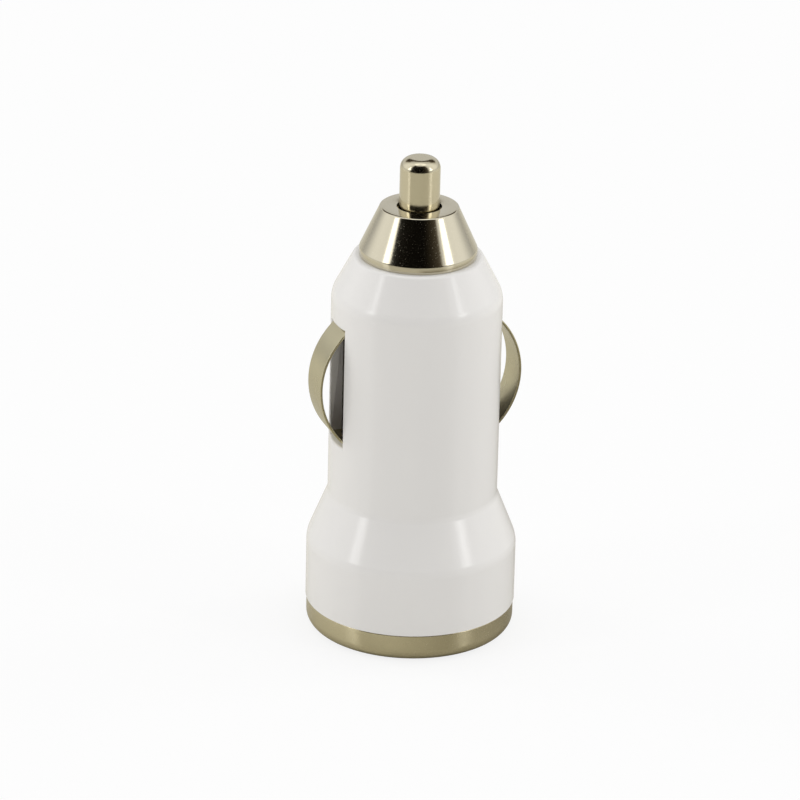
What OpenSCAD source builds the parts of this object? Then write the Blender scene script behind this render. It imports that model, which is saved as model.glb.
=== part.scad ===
// A short USB charger that plugs into a car's 12 V socket.
// It stands on its flat USB end, with the sprung centre contact pointing up.
// Origin: centre of the flat end. +Z runs along the barrel to the contact's tip.
// The two side clips lie on the X axis, and so does the long side of the USB opening.

/* [Body shell] */
// Diameter of the straight barrel that enters the car's socket
barrel_d = 20; // [19.6:0.1:20.8]
// Length of the straight barrel
barrel_h = 24.9; // [24:0.1:28]
// How far the wide end stands out from the barrel
end_step = 2.4; // [2:0.1:3]
// Length of the wide end's straight part
end_h = 7.7; // [6.5:0.1:10]
// Length of the cone between the wide end and the barrel
flare_h = 5.9; // [4.5:0.1:7]
// Length of the cone between the barrel and the metal nose
shoulder_h = 4.7; // [4:0.1:5.5]
// Diameter of the shoulder's top, around the metal nose
shoulder_top_d = 15.06; // [14.9:0.02:15.8]
// Thickness of the moulded wall
wall = 1.5; // [1.2:0.1:1.6]
// Rounding of the shell's outer edges
edge_r = 0.4; // [0.2:0.1:0.6]
// Thickness of the partition under the contact's chamber
partition_t = 1.4; // [1:0.1:1.6]

/* [Nose cap] */
// Diameter of the nose's foot
nose_d = 13.76; // [13.2:0.02:14]
// Height of the straight land at the nose's foot
nose_land_h = 0.9; // [0.6:0.1:1.3]
// Height of the whole nose
nose_h = 6; // [5.6:0.1:7]
// Diameter of the nose's flat top
nose_top_d = 9.12; // [9:0.04:10]
// Thickness of the nose's top wall
nose_top_t = 1.2; // [1:0.1:1.4]
// Rounding of the nose's top edge
nose_edge_r = 0.25; // [0.15:0.05:0.4]
// Outer diameter of the shell's threaded neck inside the nose
neck_d = 9.4; // [9.2:0.05:9.6]
// Height of the neck above the shoulder
neck_h = 3.3; // [2.6:0.1:3.5]

/* [Centre contact] */
// Diameter of the contact pin
pin_d = 4.7; // [4.4:0.1:5.2]
// Length of the pin that stands out of the nose
pin_out = 5.9; // [5:0.1:7]
// Rounding of the pin's tip
pin_round_r = 1.5; // [1:0.05:1.8]
// How far the pin can be pressed in
pin_travel = 2.5; // [1.5:0.1:2.8]
// Diameter of the pin's flange
flange_d = 7; // [6.8:0.05:7.2]
// Thickness of the pin's flange
flange_t = 1.1; // [0.8:0.1:1.3]
// Diameter of the spigot that centres the spring
spigot_d = 4.4; // [3.6:0.1:4.6]
// Length of the spigot
spigot_h = 1; // [0.6:0.1:1.2]
// Outer diameter of the spring
spring_d = 6.15; // [5.9:0.05:6.3]
// Diameter of the spring's wire
wire_d = 0.45; // [0.35:0.05:0.5]
// How much further the spring could close after the pin's full travel
spring_reserve = 1.5; // [1:0.1:1.8]
// Number of turns in the spring
spring_turns = 7; // [6:1:8]
// Thickness of the sheet that the positive terminal is cut from
terminal_t = 0.4; // [0.3:0.05:0.5]
// Width of the terminal's leg
terminal_w = 1.6; // [1.2:0.1:2]
// Length of the terminal's leg that lies on the board
terminal_lap = 2.6; // [2:0.1:3.2]

/* [Side clips] */
// Width of the spring strip
clip_w = 4.5; // [4:0.1:5]
// Thickness of the spring strip
clip_t = 0.4; // [0.3:0.05:0.5]
// Gap between the barrel and the wall of the car's socket, which a pressed clip fills
socket_gap = 0.7; // [0.5:0.05:0.9]
// Outer radius of the clip's bow
clip_arc_r = 9.65; // [9.2:0.05:10.5]
// Mean radius of the bend at each end of the bow
clip_bend_r = 0.7; // [0.5:0.05:0.9]
// Mean radius of the bend into each foot
foot_bend_r = 0.6; // [0.5:0.05:0.7]
// Length of the straight part of a foot
foot_h = 1.6; // [1:0.1:1.8]
// Height of the ear that touches the board's ground pad
ear_h = 1.2; // [0.6:0.1:1.4]
// How far a clip can be pressed in
clip_travel = 1.8; // [1:0.1:1.9]
// Distance from the barrel's top down to the clips' middle
clip_drop = 10.4; // [10:0.1:11]
// Length of the window that a clip works in
window_h = 14.7; // [14:0.1:15]

/* [End ring and face plate] */
// Height of the ring's visible band
ring_h = 3.4; // [3:0.1:4.5]
// How far the ring's side lies inside the shell's
ring_step = 0.13; // [0.05:0.01:0.3]
// Rounding of the ring's lower edge
ring_round_r = 1.5; // [0.8:0.1:1.7]
// Width of the ring's rim around the face plate
ring_rim = 2.27; // [2:0.01:2.5]
// How far the ring's upper bore stands back from the barrel's bore
ring_seat_step = 0.3; // [0.1:0.05:0.5]
// Height of the ring's collar inside the shell
collar_h = 2.6; // [2:0.1:4]
// Thickness of the face plate
plate_t = 1.6; // [1.2:0.1:1.8]
// Depth of the face plate's front below the ring's rim
plate_recess = 0.5; // [0.3:0.05:0.7]

/* [Board] */
// Thickness of the circuit board
board_t = 1; // [0.8:0.1:1.2]
// Distance from the axis to the board's main face
board_y = 3; // [3:0.05:3.2]
// Distance from the board's nearer end to the face plate
board_end_gap = 0.1; // [0.05:0.05:0.3]

/* [USB socket] */
// Outside width of the socket's steel shell
usb_w = 13.14; // [12.9:0.02:13.3]
// Outside height of the socket's steel shell
usb_t = 5.72; // [5.6:0.02:5.8]
// Depth of the socket
usb_h = 14; // [13:0.1:14.6]
// Thickness of the shell's sheet
usb_sheet = 0.3; // [0.25:0.01:0.35]
// Gap between each side of the tongue and the shell
tongue_side = 0.72; // [0.6:0.02:0.8]
// Thickness of the tongue
tongue_t = 1.84; // [1.7:0.02:1.9]
// Distance from the tongue to the shell's wall behind it
tongue_gap = 0.66; // [0.6:0.02:0.7]
// Depth of the tongue's tip below the mouth
tongue_recess = 1.5; // [1:0.1:2]
// Depth of the solid block behind the tongue
block_h = 3.5; // [3:0.1:4]
// Width of a contact strip
contact_w = 1; // [0.8:0.05:1.1]
// Thickness of a contact strip
contact_t = 0.25; // [0.2:0.01:0.3]
// Distance between the two inner contacts
inner_pitch = 2; // [1.9:0.05:2.1]
// Distance between the two outer contacts
outer_pitch = 7; // [6.9:0.05:7.1]
// How far the outer contacts start behind the tongue's tip
outer_start = 0.8; // [0.5:0.1:1]
// How much further back the inner contacts start
inner_lag = 1; // [0.8:0.1:1.2]

/* [Components] */
// Diameter of the inductor
coil_d = 7.8; // [7:0.1:8]
// Height of the inductor
coil_h = 5; // [4:0.1:5.5]
// Thickness of the inductor's flanges
coil_flange_t = 0.8; // [0.6:0.05:1]
// Diameter of the inductor's middle post
coil_post_d = 4.8; // [4:0.1:5]
// Distance from the cans' leads to the inductor
coil_gap = 2; // [1.6:0.1:2.4]
// Diameter of a capacitor can
can_d = 4; // [3.6:0.1:4.2]
// Length of a capacitor can
can_h = 5.4; // [5:0.1:5.6]
// Distance between the two cans
can_space = 2.2; // [1.6:0.1:2.4]
// Distance from the USB socket's back to the cans
can_gap = 2.8; // [2.6:0.1:3]
// Diameter of a component's lead wire
lead_d = 0.4; // [0.3:0.05:0.5]
// Length of the controller chip
chip_l = 4.9; // [4.5:0.1:5.2]
// Width of the controller chip
chip_w = 3.9; // [3.6:0.1:4]
// Height of the controller chip above the board
chip_t = 1.5; // [1.2:0.1:1.7]
// Number of legs along each side of the chip
chip_legs = 4; // [3:1:4]
// Length of the diode
diode_l = 4.3; // [4:0.1:4.5]
// Width of the diode
diode_w = 2.6; // [2.3:0.1:2.8]
// Height of the diode
diode_t = 2; // [1.6:0.1:2.2]
// Length of a chip resistor
resistor_l = 2; // [1.6:0.1:2.2]
// Width of a chip resistor
resistor_w = 1.25; // [1:0.05:1.4]
// Thickness of a chip resistor
resistor_t = 0.55; // [0.4:0.05:0.6]
// Length of a ceramic capacitor
ceramic_l = 3.2; // [2.8:0.1:3.4]
// Width of a ceramic capacitor
ceramic_w = 1.6; // [1.2:0.1:1.7]
// Thickness of a ceramic capacitor
ceramic_t = 1.2; // [0.8:0.1:1.4]
// Distance between the inductor and a ceramic capacitor
ceramic_gap = 0.3; // [0.2:0.05:0.4]
// Distance from the cans' front end to the diode's middle
diode_rise = 0.9; // [0.4:0.1:1.4]
// Distance between the diode and the chip
chip_gap = 2.6; // [2:0.1:3.2]
// Distance between the chip and the first row of resistors
resistor_gap = 3; // [2:0.1:3.6]
// Distance between two rows of resistors
resistor_space = 0.8; // [0.5:0.1:1]
// Thickness of the metal ends of the chip and the diode
leg_t = 0.2; // [0.1:0.05:0.3]
// Width of a chip's leg
leg_w = 0.45; // [0.35:0.05:0.5]
// Distance between two legs of the chip
leg_pitch = 1.2; // [1:0.1:1.27]
// Length of a chip's leg
leg_reach = 1; // [0.8:0.1:1.1]
// Diameter of the indicator lamp
lamp_d = 2; // [1.8:0.1:2.4]
// Length of the indicator lamp
lamp_h = 4.2; // [3.6:0.1:4.6]
// Distance from the axis to the indicator lamp
lamp_y = 5.4; // [5.2:0.1:6]

/* [Clearances] */
// Gap around the pin in the nose's hole
pin_gap = 0.26; // [0.2:0.02:0.3]
// Gap around the flange in its chamber
flange_gap = 0.2; // [0.1:0.05:0.25]
// Gap between the neck and the nose's bore
neck_gap = 0.05; // [0.03:0.01:0.1]
// Gap between a clip and the edges of its window
window_gap = 0.15; // [0.1:0.05:0.2]
// Gap between a clip's foot and the wall it catches on
foot_gap = 0.45; // [0.4:0.01:0.5]
// Gap between a clip's ear and the board
ear_gap = 0.03; // [0.02:0.01:0.05]
// Gap around the face plate and the ring's collar
ring_gap = 0.1; // [0.05:0.05:0.15]
// Gap between the board's edges and the bores that guide it
board_gap = 0.09; // [0.05:0.01:0.15]
// Gap around the USB shell and the lamp in the face plate
plate_gap = 0.1; // [0.05:0.05:0.15]
// Gap around the terminal's leg in its slot
slot_gap = 0.1; // [0.05:0.05:0.15]
// Gap around a contact in its channel
contact_gap = 0.02; // [0.01:0.01:0.04]
// Gap between the inductor's winding and its core
winding_gap = 0.05; // [0.02:0.01:0.1]

/* [Hidden] */
$fn = 96;
// Overlap of a cut past the face that it opens
eps = 0.5;
// Overlap of neighbouring stretches of a strip, in mm and in degrees
lap = 0.02;
lap_angle = 0.1;

// Diameter of the wide end, which stays outside the socket
end_d = barrel_d + 2 * end_step;

// Levels along the body, from the flat end up
z_end = ring_h + end_h;
z_flare = z_end + flare_h;
z_barrel = z_flare + barrel_h;
z_shoulder = z_barrel + shoulder_h;
z_neck = z_shoulder + neck_h;
z_nose = z_shoulder + nose_h;
z_tip = z_nose + pin_out;

// Length of the spring at rest: its closed turns, the pin's travel and a reserve
spring_len = (spring_turns + 1) * wire_d + pin_travel + spring_reserve;

// Levels of the contact's parts
z_stop = z_nose - nose_top_t;
z_flange = z_stop - flange_t;
z_spring = z_flange - spring_len;
z_terminal = z_spring - terminal_t;
z_partition = z_terminal - partition_t;

// Radii inside the shell
barrel_in_r = barrel_d / 2 - wall;
end_in_r = end_d / 2 - wall;
chamber_r = flange_d / 2 + flange_gap;
tube_r = chamber_r + wall;

// Radii of the end ring: its side, the bore around the face plate and the bore above it
ring_r = end_d / 2 - ring_step;
ring_bore_r = ring_r - ring_rim;
ring_seat_r = barrel_in_r + ring_seat_step;

// The clip's bow: centre of the main arc, end angle, and the two bends
clip_z = z_barrel - clip_drop;
window_w = clip_w + 2 * window_gap;
clip_reach = barrel_d / 2 + socket_gap + clip_travel;
bow_r = clip_arc_r - clip_t / 2;
bow_x = clip_reach - clip_arc_r;
leg_z = window_h / 2 - window_gap - clip_t / 2;
bow_angle = asin((leg_z - clip_bend_r) / (bow_r - clip_bend_r));
bend_x = bow_x + (bow_r - clip_bend_r) * cos(bow_angle);
foot_x = sqrt(pow(barrel_in_r, 2) - pow(clip_w / 2, 2)) - foot_gap - clip_t / 2;

// The board lies behind the axis and is guided by the barrel's bore
guide_r = barrel_in_r - board_gap;
board_back = board_y + board_t;
board_w = 2 * sqrt(pow(guide_r, 2) - pow(board_back, 2));
z_plate = plate_recess + plate_t;
z_board = z_plate + board_end_gap;
board_h = z_partition - board_end_gap - z_board;

// The USB socket sits on the board and starts flush with the face plate
usb_z = plate_recess;
usb_y = usb_t / 2 - board_y;
usb_back = usb_z + usb_h;
tongue_w = usb_w - 2 * usb_sheet - 2 * tongue_side;
tongue_y = usb_y + usb_t / 2 - usb_sheet - tongue_gap - tongue_t;
tongue_z = usb_z + tongue_recess;
contact_z = tongue_z + outer_start;
tail_z = usb_back + 2 * contact_t;

// Places of the board's components
lamp_bend_z = tail_z + contact_t + lead_d + lead_d;
can_z = usb_back + can_gap;
lead_run = 2 * lead_d;
can_bend_z = can_z + can_h + lead_run;
coil_z = can_bend_z + lead_d / 2 + coil_gap + coil_d / 2;
diode_z = can_z + diode_rise;
chip_z = diode_z + diode_w / 2 + chip_gap + chip_l / 2;
resistor_z = chip_z + chip_l / 2 + resistor_gap + resistor_w / 2;

// Unit vector from one point to another
function unit(a, b) = (b - a) / norm(b - a);
// Half of the angle at corner p between its neighbours a and b
function half_angle(p, a, b) = acos(unit(p, a) * unit(p, b)) / 2;
// The two points where a rounding of radius r meets the sides of corner p
function tangent_points(p, a, b, r) =
    let (reach = r / tan(half_angle(p, a, b)))
    [p + unit(p, a) * reach, p + unit(p, b) * reach];
// The centre of that rounding
function round_centre(p, a, b, r) =
    let (middle = unit(p, a) + unit(p, b))
    p + middle / norm(middle) * r / sin(half_angle(p, a, b));

// An outline whose convex corners are rounded by the radii in r, with 0 for a sharp corner
module rounded_outline(p, r) {
    n = len(p);
    polygon([
        for (i = [0 : n - 1])
            for (q = r[i] > 0 ? tangent_points(p[i], p[(i + n - 1) % n], p[(i + 1) % n], r[i]) : [p[i]])
                q
    ]);
    for (i = [0 : n - 1])
        if (r[i] > 0) {
            before = p[(i + n - 1) % n];
            after = p[(i + 1) % n];
            centre = round_centre(p[i], before, after, r[i]);
            ends = tangent_points(p[i], before, after, r[i]);
            intersection() {
                translate(centre) circle(r = r[i]);
                polygon([centre, ends[0], p[i], ends[1]]);
            }
        }
}

// A box given by its lowest and highest corners
module block(low, high) {
    translate(low) cube(high - low);
}

// A wire from a to b with round ends
module wire(a, b, d) {
    span = b - a;
    translate(a)
        rotate([0, acos(span[2] / norm(span)), atan2(span[1], span[0])])
            cylinder(h = norm(span), d = d, $fn = 24);
    for (p = [a, b])
        translate(p) sphere(d = d, $fn = 24);
}

// The moulded shell: wide end, flare, barrel, shoulder and threaded neck in one piece
module body_shell() {
    color("whitesmoke")
    difference() {
        rotate_extrude() rounded_outline(
            [
                [0, ring_h], [end_d / 2, ring_h], [end_d / 2, z_end], [barrel_d / 2, z_flare],
                [barrel_d / 2, z_barrel], [shoulder_top_d / 2, z_shoulder],
                [neck_d / 2, z_shoulder], [neck_d / 2, z_neck], [0, z_neck]
            ],
            [0, 0, edge_r, 0, edge_r, edge_r, 0, 0, 0]
        );
        rotate_extrude() polygon([
            [0, ring_h - eps], [end_in_r, ring_h - eps], [end_in_r, z_end],
            [barrel_in_r, z_flare], [barrel_in_r, z_barrel],
            [shoulder_top_d / 2 - wall, z_shoulder - wall], [tube_r, z_shoulder - wall],
            [tube_r, z_partition], [0, z_partition]
        ]);
        translate([0, 0, z_terminal]) cylinder(h = z_neck - z_terminal + eps, r = chamber_r);
        block(
            [-terminal_w / 2 - slot_gap, -board_y - slot_gap, z_partition - eps],
            [terminal_w / 2 + slot_gap, terminal_t + slot_gap - board_y, z_terminal + eps]
        );
        for (side = [-1, 1])
            translate([side * barrel_d / 2, 0, clip_z])
                cube([barrel_d / 2, window_w, window_h], center = true);
    }
}

// The bright ring at the flat end, with a collar that presses into the shell
module end_ring() {
    color("silver")
    difference() {
        union() {
            rotate_extrude() rounded_outline(
                [[0, 0], [ring_r, 0], [ring_r, ring_h], [0, ring_h]],
                [0, ring_round_r, 0, 0]
            );
            cylinder(h = ring_h + collar_h, r = end_in_r - ring_gap);
        }
        translate([0, 0, -eps]) cylinder(h = z_plate + eps, r = ring_bore_r);
        cylinder(h = ring_h + collar_h + eps, r = ring_seat_r);
    }
}

// The flat plate around the USB opening and the lamp
module face_plate() {
    color("white")
    difference() {
        translate([0, 0, plate_recess]) cylinder(h = plate_t, r = ring_bore_r - ring_gap);
        translate([0, usb_y, plate_recess + plate_t / 2])
            cube([usb_w + 2 * plate_gap, usb_t + 2 * plate_gap, plate_t + 2 * eps], center = true);
        translate([0, lamp_y, plate_recess - eps])
            cylinder(h = plate_t + 2 * eps, d = lamp_d + 2 * plate_gap);
    }
}

// The turned metal cap that screws onto the neck and holds the contact pin
module nose_cap() {
    color("silver")
    difference() {
        rotate_extrude() rounded_outline(
            [
                [0, z_shoulder], [nose_d / 2, z_shoulder], [nose_d / 2, z_shoulder + nose_land_h],
                [nose_top_d / 2, z_nose], [0, z_nose]
            ],
            [0, 0, 0, nose_edge_r, 0]
        );
        translate([0, 0, z_shoulder - eps])
            cylinder(h = neck_h + 2 * neck_gap + eps, r = neck_d / 2 + neck_gap);
        translate([0, 0, z_shoulder]) cylinder(h = z_stop - z_shoulder, r = chamber_r);
        translate([0, 0, z_stop - eps])
            cylinder(h = nose_top_t + 2 * eps, r = pin_d / 2 + pin_gap);
    }
}

// The centre contact: a round-tipped pin with a flange and a spigot for the spring
module contact_pin() {
    color("silver")
    union() {
        rotate_extrude() rounded_outline(
            [[0, z_flange], [pin_d / 2, z_flange], [pin_d / 2, z_tip], [0, z_tip]],
            [0, 0, pin_round_r, 0]
        );
        translate([0, 0, z_flange]) cylinder(h = flange_t, d = flange_d);
        translate([0, 0, z_flange - spigot_h]) cylinder(h = spigot_h + flange_t, d = spigot_d);
    }
}

// Sides of the wire's section and steps in each turn of the spring
wire_sides = 8;
turn_steps = 20;
spring_steps = spring_turns * turn_steps;
spring_r = (spring_d - wire_d) / 2;
// Rise of the closed turn at each end of the spring
closed_rise = 1.1 * wire_d;
open_rise = spring_len - wire_d - 2 * closed_rise;
// Height of the wire's middle after a number of turns
function coil_height(turn) =
    turn < 1 ? turn * closed_rise
    : turn < spring_turns - 1 ? closed_rise + (turn - 1) / (spring_turns - 2) * open_rise
    : spring_len - wire_d - (spring_turns - turn) * closed_rise;
// The ring of points around the wire at one step
function wire_ring(step) =
    let (angle = 360 * step / turn_steps, mid = coil_height(step / turn_steps) + wire_d / 2)
    [
        for (k = [0 : wire_sides - 1])
            let (a = 360 * k / wire_sides, r = spring_r + wire_d / 2 * cos(a))
            [r * cos(angle), r * sin(angle), mid + wire_d / 2 * sin(a)]
    ];

// The compression spring under the pin
module contact_spring() {
    points = [for (i = [0 : spring_steps]) each wire_ring(i)];
    sides = [
        for (i = [0 : spring_steps - 1], k = [0 : wire_sides - 1])
            let (a = i * wire_sides + k, b = i * wire_sides + (k + 1) % wire_sides)
            [a, a + wire_sides, b + wire_sides, b]
    ];
    first_end = [for (k = [0 : wire_sides - 1]) k];
    last_end = [for (k = [wire_sides - 1 : -1 : 0]) spring_steps * wire_sides + k];
    color("gainsboro")
    translate([0, 0, z_spring])
        polyhedron(points, concat(sides, [first_end, last_end]));
}

// The disc under the spring, with a leg that goes down to the board
module positive_terminal() {
    color("goldenrod")
    union() {
        translate([0, 0, z_terminal]) cylinder(h = terminal_t, r = chamber_r - flange_gap);
        block(
            [-terminal_w / 2, -board_y, z_partition - terminal_lap],
            [terminal_w / 2, terminal_t - board_y, z_spring]
        );
    }
}

// A band of sheet bent along an arc, from angle a to angle b, under half a turn
module bent_band(centre, r, a, b) {
    far = 2 * r;
    translate(centre)
    intersection() {
        difference() {
            circle(r = r + clip_t / 2);
            circle(r = r - clip_t / 2);
        }
        polygon([
            [0, 0], far * [cos(a), sin(a)],
            far * [cos((a + b) / 2), sin((a + b) / 2)], far * [cos(b), sin(b)]
        ]);
    }
}

// Half of the clip's strip, seen from the side: bend, leg, bend and foot
module clip_half() {
    bent_band([bend_x, leg_z - clip_bend_r], clip_bend_r, bow_angle, 90);
    translate([foot_x + foot_bend_r - lap, leg_z - clip_t / 2])
        square([bend_x - foot_x - foot_bend_r + 2 * lap, clip_t]);
    bent_band([foot_x + foot_bend_r, leg_z + foot_bend_r], foot_bend_r, 180, 270);
    translate([foot_x - clip_t / 2, leg_z + foot_bend_r - lap]) square([clip_t, foot_h + lap]);
}

// A ground clip: a bowed spring strip that stands out of its window
module clip() {
    foot_end = leg_z + foot_bend_r + foot_h;
    color("darkkhaki")
    translate([0, 0, clip_z])
    union() {
        rotate([90, 0, 0])
            linear_extrude(clip_w, center = true) {
                bent_band([bow_x, 0], bow_r, -bow_angle - lap_angle, bow_angle + lap_angle);
                clip_half();
                mirror([0, 1]) clip_half();
            }
        block(
            [foot_x - clip_t / 2, ear_gap - board_y, -foot_end],
            [foot_x + clip_t / 2, 0, ear_h - foot_end]
        );
    }
}

module right_clip() {
    clip();
}

module left_clip() {
    mirror([1, 0, 0]) clip();
}

// The long board that slides up the barrel
module circuit_board() {
    color("seagreen")
    block([-board_w / 2, -board_back, z_board], [board_w / 2, -board_y, z_board + board_h]);
}

// The folded steel shell of the USB socket
module usb_shell() {
    color("lightgray")
    translate([0, usb_y, usb_z])
    difference() {
        translate([-usb_w / 2, -usb_t / 2, 0]) cube([usb_w, usb_t, usb_h]);
        translate([usb_sheet - usb_w / 2, usb_sheet - usb_t / 2, -eps])
            cube([usb_w - 2 * usb_sheet, usb_t - 2 * usb_sheet, usb_h + 2 * eps]);
    }
}

// Middle of a contact across the socket, numbered 1 to 4
function contact_x(n) = [-outer_pitch, -inner_pitch, inner_pitch, outer_pitch][n - 1] / 2;
// Where that contact starts behind the mouth
function contact_start(n) = contact_z + (n == 2 || n == 3 ? inner_lag : 0);

// The moulded block at the socket's back and the tongue that carries the contacts
module usb_tongue() {
    color("dimgray")
    difference() {
        union() {
            block(
                [-tongue_w / 2, tongue_y, tongue_z],
                [tongue_w / 2, tongue_y + tongue_t, usb_back]
            );
            block(
                [usb_sheet - usb_w / 2, usb_y - usb_t / 2 + usb_sheet, usb_back - block_h],
                [usb_w / 2 - usb_sheet, usb_y + usb_t / 2 - usb_sheet, usb_back]
            );
        }
        for (n = [1 : 4])
            block(
                [
                    contact_x(n) - contact_w / 2 - contact_gap,
                    tongue_y - contact_t - contact_gap,
                    usb_back - block_h - contact_gap
                ],
                [contact_x(n) + contact_w / 2 + contact_gap, tongue_y, usb_back + eps]
            );
    }
}

// A contact strip: along the tongue, out of the back and down to the board
module usb_contact(n) {
    color("gold")
    union() {
        block(
            [contact_x(n) - contact_w / 2, tongue_y - contact_t, contact_start(n)],
            [contact_x(n) + contact_w / 2, tongue_y, tail_z]
        );
        block(
            [contact_x(n) - contact_w / 2, -board_y, tail_z - contact_t],
            [contact_x(n) + contact_w / 2, tongue_y, tail_z]
        );
    }
}

// The controller chip with its legs, on the board's back
module controller_chip() {
    color("darkslategray")
    union() {
        block(
            [-chip_w / 2, -board_back - chip_t, chip_z - chip_l / 2],
            [chip_w / 2, -board_back - leg_t / 2, chip_z + chip_l / 2]
        );
        for (k = [0 : chip_legs - 1])
            translate([0, 0, chip_z + (k - (chip_legs - 1) / 2) * leg_pitch])
                block(
                    [-chip_w / 2 - leg_reach, -board_back - leg_t, -leg_w / 2],
                    [chip_w / 2 + leg_reach, -board_back, leg_w / 2]
                );
    }
}

// The inductor's ferrite core, standing on the board's main face
module inductor_core() {
    color("slategray")
    translate([0, -board_y, coil_z])
    rotate([-90, 0, 0])
        rotate_extrude() polygon([
            [0, 0], [coil_d / 2, 0], [coil_d / 2, coil_flange_t], [coil_post_d / 2, coil_flange_t],
            [coil_post_d / 2, coil_h - coil_flange_t], [coil_d / 2, coil_h - coil_flange_t],
            [coil_d / 2, coil_h], [0, coil_h]
        ]);
}

// The copper winding around the core's post
module inductor_winding() {
    color("chocolate")
    translate([0, -board_y, coil_z])
    rotate([-90, 0, 0])
    translate([0, 0, coil_flange_t + winding_gap])
    difference() {
        cylinder(h = coil_h - 2 * coil_flange_t - 2 * winding_gap, d = coil_d - coil_flange_t);
        translate([0, 0, -eps])
            cylinder(h = coil_h + 2 * eps, d = coil_post_d + 2 * winding_gap);
    }
}

// A capacitor can that lies on the board, with its two leads bent down to it
module capacitor(side) {
    x = side * (can_d + can_space) / 2;
    y = can_d / 2 - board_y;
    color("lightsteelblue")
    union() {
        translate([x, y, can_z]) cylinder(h = can_h, d = can_d);
        for (lead = [-1, 1]) {
            lead_x = x + lead * can_d / 4;
            wire([lead_x, y, can_z + can_h - lead_d], [lead_x, y, can_bend_z], lead_d);
            wire([lead_x, y, can_bend_z], [lead_x, lead_d / 2 - board_y, can_bend_z], lead_d);
        }
    }
}

module input_capacitor() {
    capacitor(1);
}

module output_capacitor() {
    capacitor(-1);
}

// The power diode on the board's back
module schottky_diode() {
    color("darkslategray")
    union() {
        block(
            [-diode_l / 2, -board_back - diode_t, diode_z - diode_w / 2],
            [diode_l / 2, -board_back - leg_t / 2, diode_z + diode_w / 2]
        );
        block(
            [-diode_l / 2 - leg_w, -board_back - leg_t, diode_z - diode_w / 4],
            [diode_l / 2 + leg_w, -board_back, diode_z + diode_w / 4]
        );
    }
}

// The chip resistors on the board's back
module chip_resistors() {
    color("dimgray")
    for (column = [-1, 1], row = [0, 1])
        translate([
            column * resistor_l, -board_back - resistor_t / 2,
            resistor_z + row * (resistor_w + resistor_space)
        ])
            cube([resistor_l, resistor_t, resistor_w], center = true);
}

// The ceramic capacitors on the board's main face, one on each side of the inductor
module ceramic_capacitors() {
    x = coil_d / 2 + ceramic_gap + ceramic_w / 2;
    color("tan")
    for (side = [-1, 1])
        translate([side * x, ceramic_t / 2 - board_y, coil_z])
            cube([ceramic_w, ceramic_t, ceramic_l], center = true);
}

// The clear indicator lamp in the face plate, with a round front end
module indicator_lamp() {
    color("aliceblue")
    translate([0, lamp_y, plate_recess])
        rotate_extrude() rounded_outline(
            [[0, 0], [lamp_d / 2, 0], [lamp_d / 2, lamp_h], [0, lamp_h]],
            [0, lamp_d / 4, 0, 0]
        );
}

// The lamp's two wires, up behind the USB socket and down to the board
module lamp_leads() {
    color("lightgray")
    for (side = [-1, 1]) {
        x = side * lamp_d / 4;
        wire([x, lamp_y, plate_recess + lamp_h + lead_d / 2], [x, lamp_y, lamp_bend_z], lead_d);
        wire([x, lamp_y, lamp_bend_z], [x, lead_d / 2 - board_y, lamp_bend_z], lead_d);
    }
}

body_shell();
end_ring();
face_plate();
nose_cap();
contact_pin();
contact_spring();
positive_terminal();
left_clip();
right_clip();
circuit_board();
usb_shell();
usb_tongue();
usb_contact(1);  // usb_contact_1
usb_contact(2);  // usb_contact_2
usb_contact(3);  // usb_contact_3
usb_contact(4);  // usb_contact_4
controller_chip();
inductor_core();
inductor_winding();
input_capacitor();
output_capacitor();
schottky_diode();
chip_resistors();
ceramic_capacitors();
indicator_lamp();
lamp_leads();
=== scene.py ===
# %% [markdown]
# # A car USB charger plug
#
# The plug stands on its flat end, with the sprung contact at the top. A white moulded shell
# carries a turned metal nose, a bright ring around the flat end and a bowed spring clip on
# each side. The frame brings in every piece as a plain solid. The pieces that show are
# modelled again here with soft edges, and each one gets the finish of the real thing.

# %% Load the frame
import math

import bmesh
import bpy
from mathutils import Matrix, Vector


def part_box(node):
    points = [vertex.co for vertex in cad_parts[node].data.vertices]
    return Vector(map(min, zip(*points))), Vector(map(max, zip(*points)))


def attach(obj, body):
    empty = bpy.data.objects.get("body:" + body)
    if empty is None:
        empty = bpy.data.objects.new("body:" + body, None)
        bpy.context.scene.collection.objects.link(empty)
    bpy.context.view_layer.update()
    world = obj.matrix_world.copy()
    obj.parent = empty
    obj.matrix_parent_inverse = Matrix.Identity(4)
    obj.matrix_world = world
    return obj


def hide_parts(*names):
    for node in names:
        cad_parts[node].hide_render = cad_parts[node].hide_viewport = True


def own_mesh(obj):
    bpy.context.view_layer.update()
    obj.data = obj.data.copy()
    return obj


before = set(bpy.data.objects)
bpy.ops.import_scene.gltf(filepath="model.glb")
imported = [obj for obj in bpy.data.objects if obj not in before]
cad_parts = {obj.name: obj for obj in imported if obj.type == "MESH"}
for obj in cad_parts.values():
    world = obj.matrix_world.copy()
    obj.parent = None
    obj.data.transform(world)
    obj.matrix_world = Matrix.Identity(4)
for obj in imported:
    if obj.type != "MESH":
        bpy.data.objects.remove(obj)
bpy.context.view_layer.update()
MM = 0.001  # one millimetre in metres
print("nodes:", len(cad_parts))

# %% [markdown]
# ## Camera
#
# The photo was taken with a long lens from a little above, so the plug's sides stay almost
# parallel. The plug also leans to the right by more than a degree, which a small roll of
# the camera gives. The shift only moves the frame by the distance that the plug stands off
# the middle of the picture.

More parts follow.
